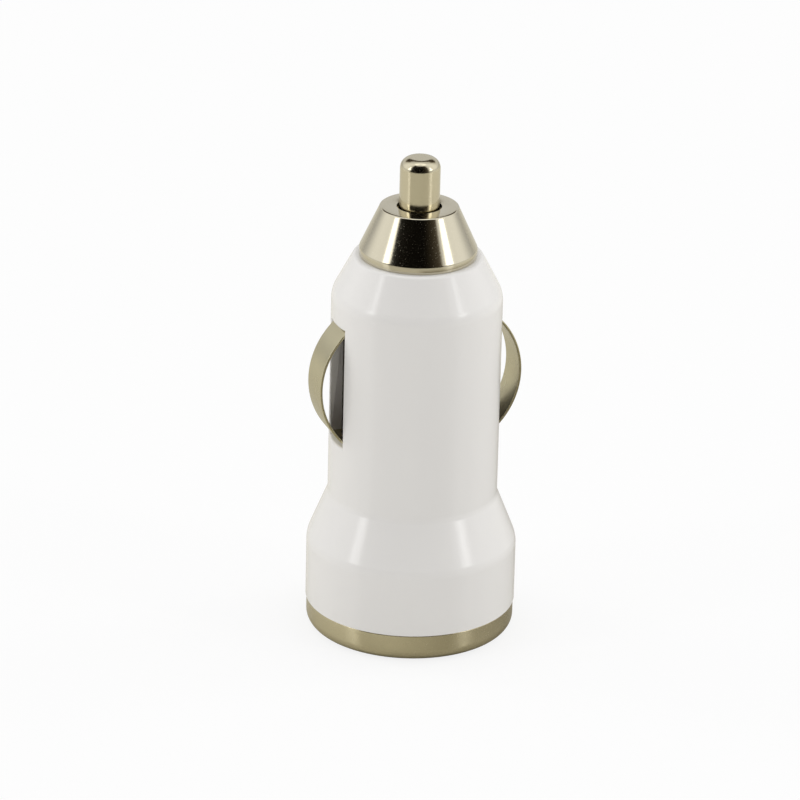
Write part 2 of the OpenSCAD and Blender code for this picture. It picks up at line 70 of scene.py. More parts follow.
# %% Camera
# Angles are in degrees, and the distances, the lens and the sensor in mm.
CAMERA_AZIMUTH, CAMERA_AWAY, CAMERA_UP, CAMERA_ROLL = -20, 597, 277, 1.45
LENS, SENSOR, SHIFT = 248.3, 36, -0.0181
AIM = Vector((0, 0, 28.23)) * MM
camera_turn = math.radians(CAMERA_AZIMUTH)
camera = bpy.data.objects.new("Camera", bpy.data.cameras.new("Camera"))
bpy.context.scene.collection.objects.link(camera)
camera.location = Vector(
    (CAMERA_AWAY * math.sin(camera_turn), -CAMERA_AWAY * math.cos(camera_turn), CAMERA_UP)
) * MM
camera.data.lens = LENS
camera.data.sensor_width = SENSOR
camera.data.shift_x = SHIFT
look = (AIM - camera.location).to_track_quat("-Z", "Y").to_euler()
look.rotate_axis("Z", math.radians(CAMERA_ROLL))
camera.rotation_euler = look
bpy.context.scene.camera = camera
print("camera to plug:", round((AIM - camera.location).length / MM), "mm")

# %% [markdown]
# ## Colours and nodes
#
# Colours are picked as sRGB hex values, the way a paint program shows them, and the shaders
# work in linear light, so one function turns one into the other. Another one adds a node to
# a material, sets its settings and inputs, and links it. A third one starts a material with
# the plain values of its shader, to which each finish below adds its own nodes.

# %% Helpers for materials
def colour(code):
    """A linear RGBA colour from an sRGB hex code."""
    parts = [int(code[i : i + 2], 16) / 255 for i in (1, 3, 5)]
    return tuple(c / 12.92 if c <= 0.04045 else ((c + 0.055) / 1.055) ** 2.4 for c in parts) + (1,)


def add(tree, kind, inputs=None, **settings):
    """Add a node with its settings, and link or set each of its inputs."""
    new = tree.nodes.new("ShaderNode" + kind)
    for name, value in settings.items():
        setattr(new, name, value)
    for name, value in (inputs or {}).items():
        if isinstance(value, bpy.types.NodeSocket):
            tree.links.new(value, new.inputs[name])
        else:
            new.inputs[name].default_value = value
    return new


def material(name, code, roughness, metallic=0.0, **sockets):
    """A new material with its shader, whose plain sockets are set, and its object coordinates."""
    made = bpy.data.materials.new(name)
    made.use_nodes = True
    tree = made.node_tree
    shader = tree.nodes["Principled BSDF"]
    shader.inputs["Base Color"].default_value = colour(code)
    shader.inputs["Roughness"].default_value = roughness
    shader.inputs["Metallic"].default_value = metallic
    for socket, value in sockets.items():
        shader.inputs[socket.replace("_", " ")].default_value = value
    place = add(tree, "TexCoord").outputs["Object"]
    return made, tree, shader, place


print("white paper is", [round(c, 3) for c in colour("#F2F2F2")[:3]], "in linear light")

# %% [markdown]
# ## Helpers for modelling
#
# Most of this plug is turned on a lathe or moulded round, so a ring of points that is
# extruded from one radius and height to the next gives its shape in the way a lathe does.
# Edges and faces are picked by where they lie, and only then does an operator work on them.

# %% Helpers for modelling
NEAR = 0.01  # in mm: places that are closer than this are the same place
MERGE = 0.001 * MM  # points that are closer than this become one


def only(piece):
    """Select this piece alone and make it the active one."""
    bpy.ops.object.select_all(action="DESELECT")
    piece.select_set(True)
    bpy.context.view_layer.objects.active = piece


def edit(piece):
    """Go into edit mode on this piece."""
    only(piece)
    bpy.ops.object.mode_set(mode="EDIT")


def leave():
    """Go back to object mode."""
    bpy.ops.object.mode_set(mode="OBJECT")


def pick(kind, test):
    """In edit mode, select the vertices, edges or faces whose middle, in mm, passes the test."""
    bpy.ops.mesh.select_mode(type=kind)
    bpy.ops.mesh.select_all(action="DESELECT")
    piece = bpy.context.edit_object
    mesh = bmesh.from_edit_mesh(piece.data)
    found = 0
    for part in {"VERT": mesh.verts, "EDGE": mesh.edges, "FACE": mesh.faces}[kind]:
        corners = [part] if kind == "VERT" else part.verts
        middle = sum((corner.co for corner in corners), Vector()) / len(corners)
        if test(piece.matrix_world @ middle / MM, part):
            part.select_set(True)
            found += 1
    mesh.select_flush_mode()
    bmesh.update_edit_mesh(piece.data)
    return found


def weld(piece):
    """Merge the points that share a place, and turn the faces outwards."""
    edit(piece)
    bpy.ops.mesh.select_all(action="SELECT")
    bpy.ops.mesh.remove_doubles(threshold=MERGE)
    bpy.ops.mesh.normals_make_consistent(inside=False)
    leave()


def modify(piece, kind, **settings):
    """Give the piece a modifier with these settings and apply it."""
    only(piece)
    change = piece.modifiers.new(kind, kind)
    for name, value in settings.items():
        setattr(change, name, value)
    bpy.ops.object.modifier_apply(modifier=change.name)


def shift(piece, x, y):
    """Move the piece by x and y, in mm."""
    only(piece)
    bpy.ops.transform.translate(value=(x * MM, y * MM, 0))
    bpy.ops.object.transform_apply(location=True)


def finish_mesh(piece, angle=30):
    """Weld the piece and shade it smooth, with crisp corners where it turns by more than the angle."""
    weld(piece)
    bpy.ops.object.transform_apply(location=True, rotation=True, scale=True)
    bpy.ops.object.shade_smooth_by_angle(angle=math.radians(angle))
    modify(piece, "WEIGHTED_NORMAL", keep_sharp=True)


def turned(name, outline, steps, closed=True):
    """Turn an outline of (radius, height) pairs in mm about the Z axis."""
    bpy.ops.object.select_all(action="DESELECT")
    radius, height = outline[0]
    bpy.ops.mesh.primitive_circle_add(
        vertices=steps, radius=radius * MM, location=(0, 0, height * MM),
        fill_type="NOTHING" if closed else "NGON",
    )
    piece = bpy.context.object
    piece.name = piece.data.name = name
    bpy.ops.object.transform_apply(location=True)
    edit(piece)
    pick("EDGE", lambda at, part: True)
    path = list(outline) + ([outline[0]] if closed else [])
    for (r0, z0), (r1, z1) in zip(path, path[1:]):
        bpy.ops.mesh.extrude_edges_move(TRANSFORM_OT_translate={"value": (0, 0, (z1 - z0) * MM)})
        bpy.ops.transform.resize(value=(r1 / r0, r1 / r0, 1), center_override=(0, 0, z1 * MM))
    if not closed:
        bpy.ops.mesh.edge_face_add()
    leave()
    weld(piece)
    return piece


def round_ring(piece, radius, height, width, segments):
    """Round the ring edge at this radius and height, in mm, by this width."""
    edit(piece)
    pick("EDGE", lambda at, part: all(
        abs(point.co.z / MM - height) < NEAR and abs(point.co.xy.length / MM - radius) < NEAR
        for point in part.verts
    ))
    bpy.ops.mesh.bevel(
        offset=width * MM, segments=segments, profile=0.5, affect="EDGES", clamp_overlap=False
    )
    leave()


def corner_width(radius, turn_angle):
    """How far a rounding of this radius reaches from a corner that turns by this angle."""
    return radius * math.tan(math.radians(turn_angle) / 2)


print("a radius of 3 mm takes", round(corner_width(3, 30), 2), "mm off a corner of 30 degrees")

# %% [markdown]
# ## Body shell
#
# One ABS moulding: the wide end, a flare, the barrel and the shoulder, with the neck that
# the nose screws onto. It is turned from its outline, inside and out, so the wall has its
# real thickness, and each edge of the outside is rounded as the mould does it.

# %% Body shell: the turned wall
RING_H, WIDE_TOP, FLARE_TOP, BARREL_TOP, SHOULDER_TOP, NECK_TOP = 3.4, 11.1, 17.0, 41.9, 46.6, 49.9
WIDE_R, BARREL_R, SHOULDER_R, NECK_R, CHAMBER_R, TUBE_R = 12.39, 10.0, 7.53, 4.7, 3.7, 5.2
WIDE_ROUND, FLARE_ROUND, BARREL_ROUND, SHOULDER_ROUND, FOOT_ROUND = 3, 2, 3, 0.5, 0.1
WALL, PARTITION_FOOT, PARTITION_TOP = 1.5, 40.9, 42.3
WINDOW_FOOT, WINDOW_TOP, RIM_BAND = 24.15, 38.85, 0.6
shell = turned("Body_shell", [
    (CHAMBER_R, PARTITION_TOP), (CHAMBER_R, NECK_TOP), (NECK_R, NECK_TOP), (NECK_R, SHOULDER_TOP),
    (SHOULDER_R, SHOULDER_TOP), (BARREL_R, BARREL_TOP), (BARREL_R, WINDOW_TOP + RIM_BAND),
    (BARREL_R, WINDOW_TOP), (BARREL_R, WINDOW_FOOT), (BARREL_R, WINDOW_FOOT - RIM_BAND),
    (BARREL_R, FLARE_TOP), (WIDE_R, WIDE_TOP), (WIDE_R, RING_H), (WIDE_R - WALL, RING_H),
    (WIDE_R - WALL, WIDE_TOP), (BARREL_R - WALL, FLARE_TOP), (BARREL_R - WALL, WINDOW_FOOT),
    (BARREL_R - WALL, WINDOW_TOP), (BARREL_R - WALL, BARREL_TOP),
    (SHOULDER_R - WALL, SHOULDER_TOP - WALL), (TUBE_R, SHOULDER_TOP - WALL), (TUBE_R, PARTITION_FOOT),
], steps=160, closed=False)
slope = math.degrees(math.atan2(BARREL_R - SHOULDER_R, SHOULDER_TOP - BARREL_TOP))
flare = math.degrees(math.atan2(WIDE_R - BARREL_R, FLARE_TOP - WIDE_TOP))
round_ring(shell, SHOULDER_R, SHOULDER_TOP, corner_width(SHOULDER_ROUND, 90 - slope), 6)
round_ring(shell, BARREL_R, BARREL_TOP, corner_width(BARREL_ROUND, slope), 6)
round_ring(shell, BARREL_R, FLARE_TOP, corner_width(FLARE_ROUND, flare), 5)
round_ring(shell, WIDE_R, WIDE_TOP, corner_width(WIDE_ROUND, flare), 6)
round_ring(shell, WIDE_R, RING_H, FOOT_ROUND, 2)
print("shell:", len(shell.data.vertices), "points")

# %% [markdown]
# The clips come out through a tall window on each side. The turned wall already has a ring
# of edges at the windows' top and bottom, so two bisections on each side mark the opening.
# Its faces are deleted outside and inside, the two holes are bridged, and the outer rim gets
# the small rounding that a mould leaves. One more ring just above and below the windows
# keeps that rounding away from the long faces, which would show it as a crease. A slot in
# the partition, for the terminal's leg, hides inside, so it is simply cut out with a block.

# %% Body shell: windows
WINDOW_SIDE, SIDE_X, RIM_R, RIM_ROUND, CUT_ROOM = 2.4, 6, 9.5, 0.25, 0.2
LEG_SLOT = (-0.9, -3.1, 40), (0.9, -2.5, 43)


def in_window(at, slack=NEAR):
    """True for a place, in mm, on the walls of the window on one side."""
    return WINDOW_FOOT - slack < at.z < WINDOW_TOP + slack and abs(at.y) < WINDOW_SIDE + slack


edit(shell)
for side in (-1, 1):
    for edge_y in (-WINDOW_SIDE, WINDOW_SIDE):
        pick("FACE", lambda at, part: in_window(at, CUT_ROOM) and side * at.x > SIDE_X)
        bpy.ops.mesh.bisect(plane_co=(0, edge_y * MM, 0), plane_no=(0, 1, 0))
    pick("FACE", lambda at, part: in_window(at) and side * at.x > SIDE_X)
    bpy.ops.mesh.delete(type="FACE")
    pick("EDGE", lambda at, part: part.is_boundary and side * at.x > SIDE_X)
    bpy.ops.mesh.bridge_edge_loops()
rim = pick("EDGE", lambda at, part: in_window(at) and at.xy.length > RIM_R
           and len(part.link_faces) == 2 and part.calc_face_angle(0) > math.radians(60))
bpy.ops.mesh.bevel(offset=RIM_ROUND * MM, segments=5, affect="EDGES", clamp_overlap=False)
leave()


def cut(piece, low, high):
    """Cut a block, given by its lowest and highest corners in mm, out of a piece."""
    bpy.ops.object.select_all(action="DESELECT")
    low, high = Vector(low) * MM, Vector(high) * MM
    bpy.ops.mesh.primitive_cube_add(size=1, location=(low + high) / 2, scale=high - low)
    block = bpy.context.object
    modify(piece, "BOOLEAN", operation="DIFFERENCE", solver="EXACT", object=block)
    bpy.data.objects.remove(block)


cut(shell, *LEG_SLOT)
finish_mesh(shell)
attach(shell, "housing")
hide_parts("body_shell")
print("window rims:", rim, "edges rounded")

# %% [markdown]
# ## End ring
#
# A turned brass ring with bright nickel, pressed into the shell by its collar. Its lower
# edge is rolled over by a large radius, which is why the photo shows it as a soft gradient
# with a dark line below.

# %% End ring
RING_R, RING_BORE, RING_SEAT, RING_ROLL = 12.27, 10.0, 8.8, 1.5
SEAT_Z, COLLAR_TOP, COLLAR_R = 2.1, 6.0, WIDE_R - WALL - 0.1
ring = turned("End_ring", [
    (RING_BORE, 0), (RING_R, 0), (RING_R, RING_H), (COLLAR_R, RING_H), (COLLAR_R, COLLAR_TOP),
    (RING_SEAT, COLLAR_TOP), (RING_SEAT, SEAT_Z), (RING_BORE, SEAT_Z),
], steps=192)
round_ring(ring, RING_R, 0, RING_ROLL, 10)
round_ring(ring, RING_R, RING_H, 0.12, 3)
round_ring(ring, RING_BORE, 0, 0.15, 3)
finish_mesh(ring)
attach(ring, "housing")
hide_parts("end_ring")
print("ring:", len(ring.data.polygons), "faces")

# %% [markdown]
# ## Nose cap
#
# The cone at the top is turned from brass and nickel plated. It stands on a narrow upright
# land, and a small rounding where the cone begins catches the light as a thin line.

# %% Nose cap
NOSE_R, NOSE_TOP_R, LAND_TOP, NOSE_TOP, NOSE_ROUND = 6.88, 4.56, 47.5, 52.6, 0.25
HOLE_R, STOP_Z, THREAD_R, THREAD_TOP = 2.61, 51.4, NECK_R + 0.05, NECK_TOP + 0.1
cone = math.degrees(math.atan2(NOSE_R - NOSE_TOP_R, NOSE_TOP - LAND_TOP))
nose = turned("Nose_cap", [
    (THREAD_R, SHOULDER_TOP), (NOSE_R, SHOULDER_TOP), (NOSE_R, LAND_TOP), (NOSE_TOP_R, NOSE_TOP),
    (HOLE_R, NOSE_TOP), (HOLE_R, STOP_Z), (CHAMBER_R, STOP_Z), (CHAMBER_R, THREAD_TOP),
    (THREAD_R, THREAD_TOP),
], steps=160)
round_ring(nose, NOSE_R, SHOULDER_TOP, 0.1, 3)
round_ring(nose, NOSE_R, LAND_TOP, 0.12, 3)
round_ring(nose, NOSE_TOP_R, NOSE_TOP, corner_width(NOSE_ROUND, 90 - cone), 5)
round_ring(nose, HOLE_R, NOSE_TOP, 0.1, 3)
finish_mesh(nose)
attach(nose, "housing")
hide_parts("nose_cap")
print("nose:", round(NOSE_TOP - SHOULDER_TOP, 1), "mm tall, cone", round(cone, 1), "degrees steep")

# %% [markdown]
# ## Contact pin
#
# The pin slides in the nose's hole. Its tip is rounded all over but for a small flat in the
# middle, and a flange inside the nose stops it from falling out.

# %% Contact pin
PIN_R, FLANGE_R, SPIGOT_R, TIP_ROUND = 2.35, 3.5, 2.2, 1.25
SPIGOT_Z, FLANGE_Z, TIP_Z = 49.3, 50.3, 58.5
pin = turned("Contact_pin", [
    (SPIGOT_R, SPIGOT_Z), (SPIGOT_R, FLANGE_Z), (FLANGE_R, FLANGE_Z), (FLANGE_R, STOP_Z), (PIN_R, STOP_Z),
    (PIN_R, TIP_Z),
], steps=96, closed=False)
round_ring(pin, PIN_R, TIP_Z, TIP_ROUND, 14)
round_ring(pin, FLANGE_R, STOP_Z, 0.15, 3)
round_ring(pin, SPIGOT_R, SPIGOT_Z, 0.2, 3)
finish_mesh(pin)
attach(pin, "pin")
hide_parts("contact_pin")
print("pin: flat tip of", round(2 * (PIN_R - TIP_ROUND), 2), "mm")

# %% [markdown]
# ## Side clips
#
# Each clip is one strip of spring steel. It bows out of its window, turns round a tight bend
# into a leg at each end, and the legs end in feet that catch behind the wall. A line as wide
# as the strip is spun and extruded along that path, mirrored about the middle height, and
# then gets its thickness and its edges from modifiers.

# %% Side clips
CLIP_W, CLIP_T, BOW_R, BOW_X, BEND_R = 4.5, 0.3, 9.45, 2.85, 0.7
LEG_Z, FOOT_X, FOOT_R, FOOT_H, EAR_H, EAR_Y, CLIP_ROUND = 7.0, 7.547, 0.6, 0.4, 1.2, -2.97, 0.08
SHARP = math.radians(50)
bow_angle = math.asin((LEG_Z - BEND_R) / (BOW_R - BEND_R))
bend_x = BOW_X + (BOW_R - BEND_R) * math.cos(bow_angle)


def pick_end(x, z):
    """Select the cross edge of the strip that lies at this x and z, in mm."""
    found = pick("EDGE", lambda at, part: (at - Vector((x, 0, z))).length < NEAR)
    assert found == 1, (x, z, found)


def spin_end(x, z, centre, angle, steps):
    """Spin the cross edge at this x and z about a line along Y through the centre, in mm."""
    pick_end(x, z)
    middle = (centre[0] * MM, 0, centre[1] * MM)
    bpy.ops.mesh.spin(steps=steps, angle=angle, center=middle, axis=(0, 1, 0))


def extrude_end(x, z, along, up):
    """Extrude the cross edge at this x and z by a distance in mm."""
    pick_end(x, z)
    bpy.ops.mesh.extrude_edges_move(TRANSFORM_OT_translate={"value": (along * MM, 0, up * MM)})


def clip_strip(name, side):
    """The right clip, or with side -1 its mirror image."""
    bpy.ops.object.select_all(action="DESELECT")
    bpy.ops.mesh.primitive_plane_add(size=CLIP_W * MM, location=(0, 0, 0))
    strip = bpy.context.object
    strip.name = strip.data.name = name
    edit(strip)
    pick("EDGE", lambda at, part: at.x < 1)
    bpy.ops.mesh.delete(type="EDGE")
    pick("EDGE", lambda at, part: True)
    bpy.ops.transform.translate(value=((BOW_X + BOW_R - CLIP_W / 2) * MM, 0, 0))
    spin_end(BOW_X + BOW_R, 0, (BOW_X, 0), bow_angle, 28)
    bow_end = (BOW_X + BOW_R * math.cos(bow_angle), BOW_R * math.sin(bow_angle))
    spin_end(*bow_end, (bend_x, LEG_Z - BEND_R), math.pi / 2 - bow_angle, 8)
    extrude_end(bend_x, LEG_Z, FOOT_X + FOOT_R - bend_x, 0)
    spin_end(FOOT_X + FOOT_R, LEG_Z, (FOOT_X + FOOT_R, LEG_Z + FOOT_R), -math.pi / 2, 6)
    extrude_end(FOOT_X, LEG_Z + FOOT_R, 0, FOOT_H)
    extrude_end(FOOT_X, LEG_Z + FOOT_R + FOOT_H, 0, EAR_H)
    leave()
    modify(strip, "MIRROR", use_axis=(False, False, True), merge_threshold=MERGE)
    if side < 0:
        edit(strip)
        bpy.ops.mesh.select_all(action="SELECT")
        bpy.ops.transform.resize(value=(-1, 1, 1), center_override=(0, 0, 0))
        leave()
    weld(strip)
    edit(strip)
    ear_z = -LEG_Z - FOOT_R - FOOT_H - EAR_H / 2
    pick("EDGE", lambda at, part: abs(at.y + CLIP_W / 2) < NEAR and abs(at.z - ear_z) < NEAR)
    bpy.ops.mesh.extrude_edges_move(TRANSFORM_OT_translate={"value": (0, (EAR_Y + CLIP_W / 2) * MM, 0)})
    bpy.ops.mesh.select_all(action="SELECT")
    bpy.ops.mesh.normals_make_consistent(inside=False)
    bpy.ops.transform.translate(value=(0, 0, (WINDOW_FOOT + WINDOW_TOP) / 2 * MM))
    leave()
    modify(strip, "SOLIDIFY", thickness=CLIP_T * MM, offset=0, use_even_offset=True)
    modify(strip, "BEVEL", width=CLIP_ROUND * MM, segments=3, limit_method="ANGLE", angle_limit=SHARP)
    finish_mesh(strip)
    return strip


clips = {}
for name, side, body, clip_node in (
    ("Right_clip", 1, "clip_right", "right_clip"), ("Left_clip", -1, "clip_left", "left_clip")
):
    clips[name] = clip_strip(name, side)
    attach(clips[name], body)
    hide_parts(clip_node)
    solid = [round(corner.x / MM, 2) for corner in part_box(clip_node)]
    reach = [point.co.x / MM for point in clips[name].data.vertices]
    print(name, "x", round(min(reach), 2), round(max(reach), 2), "solid", *solid)

# %% [markdown]
# ## Contact spring
#
# A compression spring of round wire, with a closed turn at each end so that it stands flat.
# The wire follows a curve, which gives it a round section all along, and the curve is then
# turned into a mesh.

# %% Contact spring
SPRING_D, WIRE_D, TURNS, TURN_STEPS, SPRING_Z = 6.15, 0.45, 7, 40, 42.7
SPRING_H, PIN_TRAVEL = FLANGE_Z - SPRING_Z, 2.5


def wire(name, points, radius, resolution=3):
    """A round wire with closed ends through these points, in mm."""
    curve = bpy.data.curves.new(name, "CURVE")
    curve.dimensions, curve.bevel_depth, curve.bevel_resolution = "3D", radius * MM, resolution
    curve.use_fill_caps = True
    line = curve.splines.new("POLY")
    line.points.add(len(points) - 1)
    for spot, (px, py, pz) in zip(line.points, points):
        spot.co = (px * MM, py * MM, pz * MM, 1)
    piece = bpy.data.objects.new(name, curve)
    bpy.context.scene.collection.objects.link(piece)
    only(piece)
    bpy.ops.object.convert(target="MESH")
    return bpy.context.object


def coil_height(turns):
    """Height of the wire's middle above the spring's foot after a number of turns, in mm."""
    closed = 1.1 * WIRE_D
    full = SPRING_H - WIRE_D
    if turns < 1:
        return WIRE_D / 2 + turns * closed
    if turns > TURNS - 1:
        return WIRE_D / 2 + full - (TURNS - turns) * closed
    return WIRE_D / 2 + closed + (turns - 1) / (TURNS - 2) * (full - 2 * closed)


coil_r = (SPRING_D - WIRE_D) / 2
spring = wire("Contact_spring", [
    (coil_r * math.cos(2 * math.pi * i / TURN_STEPS), coil_r * math.sin(2 * math.pi * i / TURN_STEPS),
     SPRING_Z + coil_height(i / TURN_STEPS))
    for i in range(TURNS * TURN_STEPS + 1)
], WIRE_D / 2)
finish_mesh(spring, angle=60)
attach(spring, "housing")
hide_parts("contact_spring")
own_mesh(spring)
print("spring:", TURNS, "turns,", len(spring.data.polygons), "faces")

# %% [markdown]
# ## Flat and boxy pieces
#
# The face plate, the board, the chip and the like are right in their plain shapes, but no
# real edge is perfectly sharp. Each one is a copy of its solid, whose triangles are merged
# back to flat faces, and a bevel then breaks every edge by the amount that moulding, sawing
# or stamping leaves.

# %% Flat and boxy pieces
def soft_copy(name, node, width, segments=2):
    """A copy of a CAD node with every sharp edge broken by this width in mm."""
    piece = bpy.data.objects.new(name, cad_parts[node].data.copy())
    piece.data.name = name
    bpy.context.scene.collection.objects.link(piece)
    edit(piece)
    bpy.ops.mesh.select_all(action="SELECT")
    bpy.ops.mesh.remove_doubles(threshold=MERGE)
    bpy.ops.mesh.dissolve_limited(angle_limit=math.radians(1))
    leave()
    modify(piece, "BEVEL", width=width * MM, segments=segments, limit_method="ANGLE", angle_limit=SHARP)
    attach(piece, "housing")
    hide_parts(node)
    return piece


plate = soft_copy("Face_plate", "face_plate", 0.12, 3)
terminal = soft_copy("Positive_terminal", "positive_terminal", 0.05)
board = soft_copy("Circuit_board", "circuit_board", 0.03)
tongue = soft_copy("Usb_tongue", "usb_tongue", 0.08)
contacts = [soft_copy(f"Usb_contact_{n}", f"usb_contact_{n}", 0.04) for n in range(1, 5)]
chip = soft_copy("Controller_chip", "controller_chip", 0.05)
diode = soft_copy("Schottky_diode", "schottky_diode", 0.06)
resistors = soft_copy("Chip_resistors", "chip_resistors", 0.04)
ceramics = soft_copy("Ceramic_capacitors", "ceramic_capacitors", 0.06)


def slice_at(piece, direction, places):
    """Cut new edges across the piece at these places along a direction, in mm."""
    edit(piece)
    for place in places:
        bpy.ops.mesh.select_all(action="SELECT")
        bpy.ops.mesh.bisect(plane_co=Vector(direction) * place * MM, plane_no=direction)
    leave()


# Each end cap reaches this far in from the end of its part, whose middle and half length are known.
END_CAP, RESISTOR_X, RESISTOR_HALF, CERAMIC_Z, CERAMIC_HALF = 0.35, 2.0, 1.0, 29.6, 1.6
plain = RESISTOR_HALF - END_CAP
slice_at(resistors, (1, 0, 0), [row * (RESISTOR_X + end * plain) for row in (-1, 1) for end in (-1, 1)])
plain = CERAMIC_HALF - END_CAP
slice_at(ceramics, (0, 0, 1), [CERAMIC_Z - plain, CERAMIC_Z + plain])
for piece in (plate, terminal, board, tongue, *contacts, chip, diode, resistors, ceramics):
    finish_mesh(piece, angle=35)
print("board:", [round(side / MM, 1) for side in board.dimensions], "mm")

# %% [markdown]
# ## USB socket shell
#
# The socket's shell is thin steel sheet that is folded to a tube, so its corners are round
# and its mouth is open. Two tongues in each broad side are cut free on three sides and bent
# inwards. They press on the plug and hold it.

# %% USB socket shell
low, high = (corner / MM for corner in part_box("usb_shell"))
FOLD_R, SHEET, SLOT_W, SHEET_ROUND = 0.7, 0.3, 0.35, 0.04
FINGER_X, FINGER_W, FINGER_LOW, FINGER_HIGH, FINGER_BEND = 3.2, 2.2, 3.2, 8.6, 0.25
bpy.ops.object.select_all(action="DESELECT")
middle = (low + high) / 2
bpy.ops.mesh.primitive_plane_add(size=MM, location=(middle.x * MM, middle.y * MM, low.z * MM))
socket = bpy.context.object
socket.scale = (high.x - low.x, high.y - low.y, 1)
socket.name = socket.data.name = "Usb_shell"
bpy.ops.object.transform_apply(location=True, scale=True)
edit(socket)
bpy.ops.mesh.select_all(action="SELECT")
bpy.ops.mesh.bevel(offset=FOLD_R * MM, segments=6, affect="VERTICES")
bpy.ops.mesh.select_all(action="SELECT")
bpy.ops.mesh.extrude_region_move(TRANSFORM_OT_translate={"value": (0, 0, (high.z - low.z) * MM)})
bpy.ops.mesh.select_all(action="SELECT")
bpy.ops.mesh.normals_make_consistent(inside=False)
pick("FACE", lambda at, part: abs(part.normal.z) > 0.5)
bpy.ops.mesh.delete(type="ONLY_FACE")
leave()
modify(socket, "SOLIDIFY", thickness=SHEET * MM, offset=-1, use_even_offset=True)
for side in (-1, 1):
    x = side * FINGER_X
    for x0, x1, z0, z1 in (
        (x - FINGER_W / 2 - SLOT_W, x - FINGER_W / 2, FINGER_LOW, FINGER_HIGH + SLOT_W),
        (x + FINGER_W / 2, x + FINGER_W / 2 + SLOT_W, FINGER_LOW, FINGER_HIGH + SLOT_W),
        (x - FINGER_W / 2 - SLOT_W, x + FINGER_W / 2 + SLOT_W, FINGER_HIGH, FINGER_HIGH + SLOT_W),
    ):
        cut(socket, (x0, low.y - 1, z0), (x1, high.y + 1, z1))
edit(socket)
for side in (-1, 1):
    pick("VERT", lambda at, part: abs(abs(at.x) - FINGER_X) < FINGER_W / 2 + NEAR
         and side * (at.y - middle.y) > 1 and abs(at.z - FINGER_HIGH) < 2 * NEAR)
    bpy.ops.transform.translate(value=(0, -side * FINGER_BEND * MM, 0))
leave()
modify(socket, "BEVEL", width=SHEET_ROUND * MM, segments=2, limit_method="ANGLE")
finish_mesh(socket, angle=35)
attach(socket, "housing")
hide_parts("usb_shell")
print("socket mouth:", round(high.x - low.x - 2 * SHEET, 2), "x", round(high.y - low.y - 2 * SHEET, 2), "mm")

# %% [markdown]
# ## Coil
#
# The coil's core is a small ferrite drum, and its winding is one layer of enamelled wire, so
# its outside is a row of round turns. Both are turned upright and then laid on the board.

# %% Coil
BOARD_FRONT = -3.0
CORE_R, CORE_FLANGE, POST_R, COIL_H, COIL_Z, WOUND_R, ROWS, COIL_GAP = 3.9, 0.8, 2.4, 5.0, 29.6, 3.5, 6, 0.05


def lay_down(piece):
    """Turn a piece that stands on the origin so that it stands on the board's face instead."""
    only(piece)
    piece.rotation_euler.x = -math.pi / 2
    piece.location = (0, BOARD_FRONT * MM, COIL_Z * MM)
    bpy.ops.object.transform_apply(location=True, rotation=True)


core = turned("Inductor_core", [
    (CORE_R, 0), (CORE_R, CORE_FLANGE), (POST_R, CORE_FLANGE), (POST_R, COIL_H - CORE_FLANGE),
    (CORE_R, COIL_H - CORE_FLANGE), (CORE_R, COIL_H),
], steps=64, closed=False)
for height in (0, CORE_FLANGE, COIL_H - CORE_FLANGE, COIL_H):
    round_ring(core, CORE_R, height, 0.12, 2)
wound_foot, wound_top = CORE_FLANGE + COIL_GAP, COIL_H - CORE_FLANGE - COIL_GAP
row_h = (wound_top - wound_foot) / ROWS
wound = [(POST_R + COIL_GAP, wound_top), (POST_R + COIL_GAP, wound_foot)]
for row in range(ROWS):
    for bend in range(-84, 85, 28):
        wound.append((WOUND_R - row_h / 2 + row_h / 2 * math.cos(math.radians(bend)),
                      wound_foot + (row + 0.5) * row_h + row_h / 2 * math.sin(math.radians(bend))))
winding = turned("Inductor_winding", wound, steps=64)
for piece, node, slot in ((core, "inductor_core", "ferrite"), (winding, "inductor_winding", "copper_wire")):
    lay_down(piece)
    finish_mesh(piece, angle=40)
    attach(piece, "housing")
    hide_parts(node)
print("coil:", ROWS, "turns of wire", round(row_h, 2), "mm thick")

# %% [markdown]
# ## Capacitors
#
# The two capacitors are drawn aluminium cans with a groove that holds the rubber bung, and
# a sleeve printed with a stripe on the side of the negative lead. The can is turned, and
# its two leads are bent wires that are joined to it.

# %% Capacitors
CAN_R, CAN_FOOT, CAN_TOP, GROOVE_Z, CAN_X, CAN_Y = 2.0, 17.3, 22.7, 21.7, 3.1, -1.0
LEAD_R, LEAD_X, LEAD_BEND, BEND_Z = 0.2, 1, 0.35, 23.5


def bent_lead(name, x, y, start, bend_z):
    """A lead that rises from its part, bends by a right angle and ends on the board."""
    points = [(x, y, start)]
    for degrees in range(0, 91, 15):
        bend = math.radians(degrees)
        points.append((x, y - LEAD_BEND * (1 - math.cos(bend)), bend_z - LEAD_BEND * (1 - math.sin(bend))))
    return wire(name, [*points, (x, BOARD_FRONT + LEAD_R, bend_z)], LEAD_R)


def join(*pieces):
    """Join the pieces to the first one."""
    bpy.ops.object.select_all(action="DESELECT")
    for piece in pieces:
        piece.select_set(True)
    bpy.context.view_layer.objects.active = pieces[0]
    bpy.ops.object.join()


